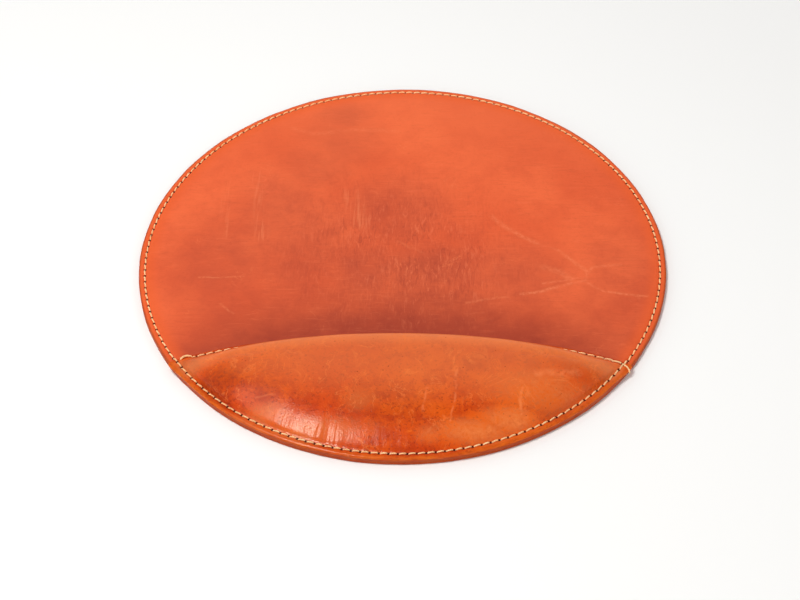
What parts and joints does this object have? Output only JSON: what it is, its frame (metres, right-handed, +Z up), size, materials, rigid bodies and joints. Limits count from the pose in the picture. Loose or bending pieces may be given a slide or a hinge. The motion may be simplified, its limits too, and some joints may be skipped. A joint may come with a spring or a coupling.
{
  "type": "mouse pad",
  "caption": "Round stitched leather mouse pad with a flat mousing surface and a padded leather wrist rest sewn along the front edge.",
  "frame": {"origin": "centre of the round underside, on the desk", "axes": "+Z up out of the mousing surface, -Y towards the user and the wrist rest, +X to the user's right"},
  "size_m": [0.25, 0.25, 0.0152],
  "materials": {
    "base_leather": "rough suede underside with a burnished orange-brown cut edge",
    "top_leather": "red-brown waxed leather, mottled, with fine creases and light scars, satin",
    "rest_leather": "cognac leather moulded over foam, mottled, polished semi-gloss",
    "foam": "open cushion foam, hidden under the leather",
    "thread": "waxed cream sewing thread"
  },
  "bodies": {
    "root": {"base_leather": "base_leather", "top_leather": "top_leather", "rest_foam": "foam", "rest_cover": "rest_leather", "rest_needle_thread": "thread", "rest_bobbin_thread": "thread", "rim_needle_thread": "thread", "rim_bobbin_thread": "thread"}
  },
  "joints": []
}
